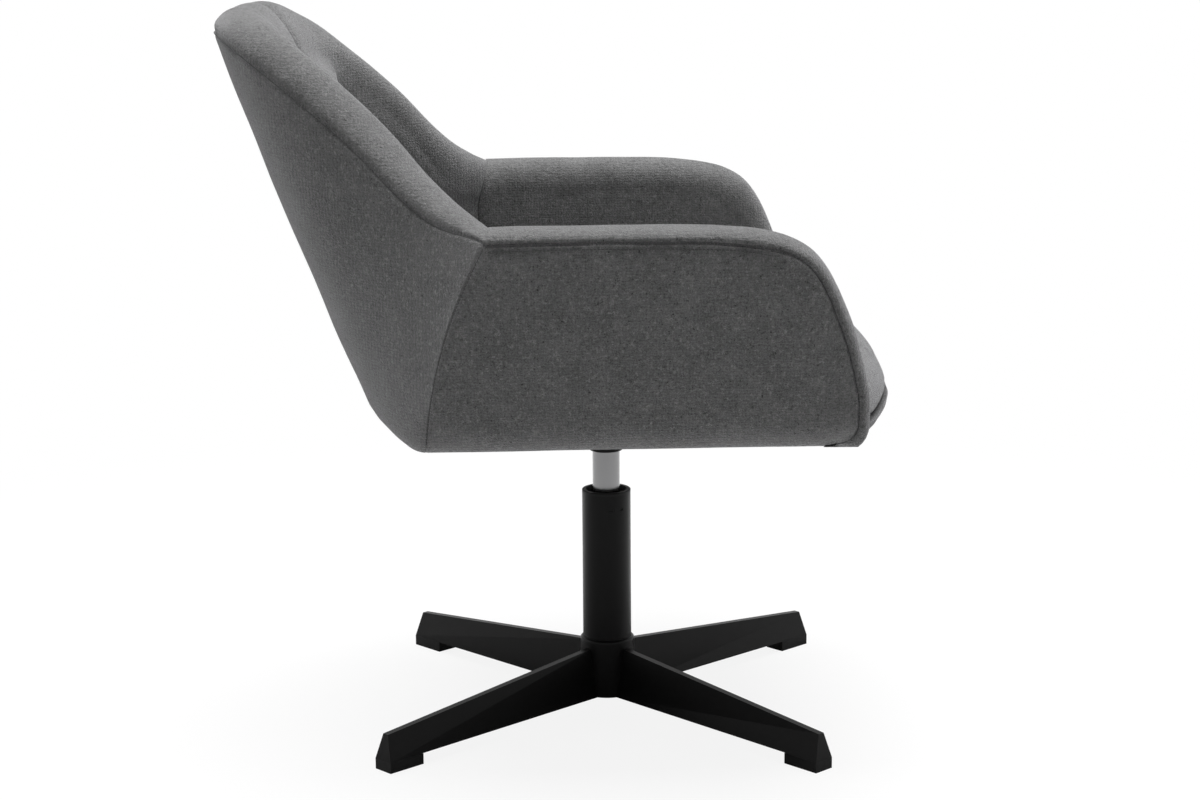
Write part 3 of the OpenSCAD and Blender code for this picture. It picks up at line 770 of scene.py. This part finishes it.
def repeat_along(name, rows, make_item, spacing, material, body="seat"):
    """One mesh of small items set end to end along rows of points, by Geometry Nodes."""
    tree = bpy.data.node_groups.new(name, "GeometryNodeTree")
    for label, kind, way in (
        ("Geometry", "NodeSocketGeometry", "INPUT"), ("Spacing", "NodeSocketFloat", "INPUT"),
        ("Geometry", "NodeSocketGeometry", "OUTPUT"),
    ):
        tree.interface.new_socket(label, in_out=way, socket_type=kind)
    nodes, link = tree.nodes, tree.links.new
    enter, leave = nodes.new("NodeGroupInput"), nodes.new("NodeGroupOutput")
    curve = nodes.new("GeometryNodeMeshToCurve")
    link(enter.outputs["Geometry"], curve.inputs["Mesh"])
    spaced = nodes.new("GeometryNodeCurveToPoints")
    spaced.mode = "LENGTH"
    link(curve.outputs["Curve"], spaced.inputs["Curve"])
    link(enter.outputs["Spacing"], spaced.inputs["Length"])
    item = make_item(nodes, link)
    placed = nodes.new("GeometryNodeInstanceOnPoints")
    link(spaced.outputs["Points"], placed.inputs["Points"])
    link(item, placed.inputs["Instance"])
    link(spaced.outputs["Rotation"], placed.inputs["Rotation"])
    real = nodes.new("GeometryNodeRealizeInstances")
    link(placed.outputs["Instances"], real.inputs["Geometry"])
    painted = nodes.new("GeometryNodeSetMaterial")
    painted.inputs["Material"].default_value = material
    link(real.outputs["Geometry"], painted.inputs["Geometry"])
    link(painted.outputs["Geometry"], leave.inputs["Geometry"])
    points, edges = [], []
    for row in rows:
        edges += [(len(points) + k, len(points) + k + 1) for k in range(len(row) - 1)]
        points += [tuple(p) for p in row]
    mesh = bpy.data.meshes.new(name + "_rows")
    mesh.from_pydata(points, edges, [])
    guide = bpy.data.objects.new(name + "_rows", mesh)
    scene.collection.objects.link(guide)
    modifier = guide.modifiers.new(name, "NODES")
    modifier.node_group = tree
    for socket in tree.interface.items_tree:
        if socket.in_out == "INPUT" and socket.name == "Spacing":
            modifier[socket.identifier] = spacing
    bpy.context.view_layer.update()
    made = bpy.data.meshes.new_from_object(guide.evaluated_get(bpy.context.evaluated_depsgraph_get()))
    bpy.data.objects.remove(guide)
    if not made.materials:
        made.materials.append(material)
    piece = bpy.data.objects.new(name, made)
    scene.collection.objects.link(piece)
    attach(piece, body)
    return piece


def stitch(nodes, link):
    """A stitch: a small barrel lying along its row."""
    barrel = nodes.new("GeometryNodeMeshCylinder")
    barrel.inputs["Vertices"].default_value = 6
    barrel.inputs["Radius"].default_value = 0.0005
    barrel.inputs["Depth"].default_value = 0.0027
    return barrel.outputs["Mesh"]


def below_rim(station, push, down, proud=0.0):
    """A point on the outer face, a distance below the rim's seam."""
    s = 1 - down / np.linalg.norm(station.top - station.low)
    point = station.outer(s)
    return point - station.inward * (push(s, point) + proud)


rows = []
for side in (-1, 1):
    edge_row = [below_rim(arm_station(side, u), lambda s, p: -0.0010, 0.0) for u in np.linspace(0, 0.985, 260)]
    second = [below_rim(arm_station(side, u), lambda s, p: 0.0002, 0.0055) for u in np.linspace(0.012, 0.52, 160)]
    rows += [edge_row, second]
    corner = []
    for z in np.linspace(0.345, 0.522, 60):
        station = arm_station(side, 0.0)
        s = (z - floor_of_shell) / (station.top[2] - floor_of_shell)
        up = (z - floor_of_shell) / (arm_top - floor_of_shell)
        point = station.outer(s) - station.inward * (0.0045 * math.sin(math.pi * s) - 0.0014)
        corner.append(point - np.array((seam_bow * math.sin(math.pi * up), 0.0, 0.0)))
    rows.append(corner)
rows.append([below_rim(back_station(turn), lambda s, p: -0.0010, 0.0) for turn in np.linspace(-90, 90, 500)])
stitches = repeat_along("stitches", rows, stitch, 0.0034, thread.material)

# ---------- the dust cover ----------
# A black non-woven sheet stapled under the seat board, 0.4 mm thick, its cut edge a little wavy, with a hole
# for the plate. Steel staples 10 mm long hold it every 45 mm or so.
cover_cloth = Finish("dust_cloth", Roughness=0.95)
cover_cloth.shader.inputs["Base Color"].default_value = (0.012, 0.012, 0.012, 1)
cover_cloth.bump(cover_cloth.add("ShaderNodeTexNoise", None, {"Vector": cover_cloth.place(), "Scale": 900.0}), 0.5, 0.0005)
staple_steel = Finish("staple_steel", Roughness=0.35, Metallic=1.0)
staple_steel.shader.inputs["Base Color"].default_value = (0.55, 0.55, 0.56, 1)
cover_low, cover_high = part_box("dust_cover")
cover_z = float(cover_low[2])
hole = (0.1015, 0.0815)


def cover_edge():
    outline = []
    rear = [back_station(turn) for turn in np.linspace(88, -88, 61)]
    for y in np.linspace(-0.272, 0.272, 41):
        outline.append((0.199, y))
    for x in np.linspace(0.199, -0.160, 30)[1:-1]:
        outline.append((x, 0.273))
    for station in rear:
        point = station.low + station.inward * 0.032
        outline.append((point[0], point[1]))
    for x in np.linspace(-0.160, 0.199, 30)[1:-1]:
        outline.append((x, -0.273))
    return [(x + ruffle((x, y, 0), 0.0012, 0.02), y + ruffle((y, x, 1), 0.0012, 0.02)) for x, y in outline]


def cover_ring(point, k, z):
    x, y = point
    reach = max(abs(x) / hole[0], abs(y) / hole[1])
    inner = (x / reach, y / reach)
    at = (mix(inner[0], x, k), mix(inner[1], y, k))
    sag = 0.0006 * math.sin(math.pi * k) + ruffle((at[0], at[1], 2.0), 0.0005, 0.05)
    return np.array((at[0], at[1], z - max(sag, 0.0)))


edge_points = cover_edge()
lower = [[cover_ring(p, k, cover_z) for p in edge_points] for k in np.linspace(1, 0, 12)]
upper = [[cover_ring(p, k, cover_z + 0.0005) for p in edge_points] for k in np.linspace(0, 1, 12)]
rings = lower + upper
count = len(edge_points)
points = [tuple(p) for ring in rings for p in ring]
faces = [
    (i * count + j, i * count + (j + 1) % count, ((i + 1) % len(rings)) * count + (j + 1) % count, ((i + 1) % len(rings)) * count + j)
    for i in range(len(rings)) for j in range(count)
]
mesh = bpy.data.meshes.new("dust_sheet")
mesh.from_pydata(points, [], faces)
work = bmesh.new()
work.from_mesh(mesh)
bmesh.ops.recalc_face_normals(work, faces=work.faces)
work.to_mesh(mesh)
work.free()
mesh.materials.append(cover_cloth.material)
dust_sheet = bpy.data.objects.new("dust_sheet", mesh)
scene.collection.objects.link(dust_sheet)
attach(dust_sheet, "seat")
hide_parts("dust_cover")


def staple(nodes, link):
    """A staple's crown: a flat bar along the edge."""
    bar = nodes.new("GeometryNodeMeshCube")
    bar.inputs["Size"].default_value = (0.0011, 0.0006, 0.010)
    return bar.outputs["Mesh"]


staple_row = [np.array((x * 0.968, y * 0.972, cover_z - 0.0006)) for x, y in edge_points]
staples = repeat_along("staples", [staple_row + staple_row[:1]], staple, 0.045, staple_steel.material)

# ---------- the base, the column and the lift ----------
# Pressed steel legs, hub and column in satin black powder coat, fine-grained; a satin chrome cylinder; black
# plastic glides and bush; the plate and box under the seat in the same black.
def coat(name, level, rough, metal=0.0, grain=0.0, size=900.0, shine=0.5):
    finish = Finish(name, Roughness=rough, Metallic=metal, Specular_IOR_Level=shine)
    finish.shader.inputs["Base Color"].default_value = (level, level, level * 1.01, 1)
    if grain:
        texture = finish.add("ShaderNodeTexNoise", None, {"Vector": finish.place(), "Scale": size, "Detail": 3.0})
        finish.bump(texture, grain, 0.0004)
    return finish.material


black_coat = coat("black_powder_coat", 0.004, 0.36, grain=0.2, size=1400.0, shine=0.09)
black_plastic = coat("black_plastic", 0.005, 0.5, grain=0.25, size=1000.0, shine=0.12)
chrome = coat("satin_chrome", 0.17, 0.24, metal=1.0)
zinc = coat("zinc_steel", 0.42, 0.4, metal=1.0)
bearing = coat("bearing_steel", 0.5, 0.2, metal=1.0)
brass = coat("valve_brass", 0.3, 0.3, metal=1.0)
rubber = coat("seal_rubber", 0.01, 0.8)
ply = Finish("plywood", Roughness=0.7)
rings_of_wood = ply.add(
    "ShaderNodeTexWave", {"wave_type": "BANDS", "bands_direction": "Z"},
    {"Vector": ply.place(), "Scale": 90.0, "Distortion": 3.0},
)
ply.set("Base Color", ply.blend(rings_of_wood, (0.42, 0.27, 0.14, 1), (0.60, 0.42, 0.24, 1)))
finish_of = {
    "hub leg_front_left leg_rear_left leg_rear_right leg_front_right column_tube swivel_plate taper_socket "
    "lever_rod column_end_plate back_brackets": black_coat,
    "glide_front_left glide_rear_left glide_rear_right glide_front_right guide_bush lever_grip "
    "bearing_cage": black_plastic,
    "gas_cylinder piston_rod": chrome,
    "plate_bolts tee_nuts lever_pin panel_screws rod_clip piston rod_gland": zinc,
    "lower_race upper_race bearing_balls": bearing,
    "valve_body valve_pin": brass,
    "piston_seal": rubber,
    "seat_board arm_panel_right arm_panel_left back_board": ply.material,
}
for names, material in finish_of.items():
    for name in names.split():
        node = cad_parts[name]
        for slot in node.material_slots:
            slot.material = material
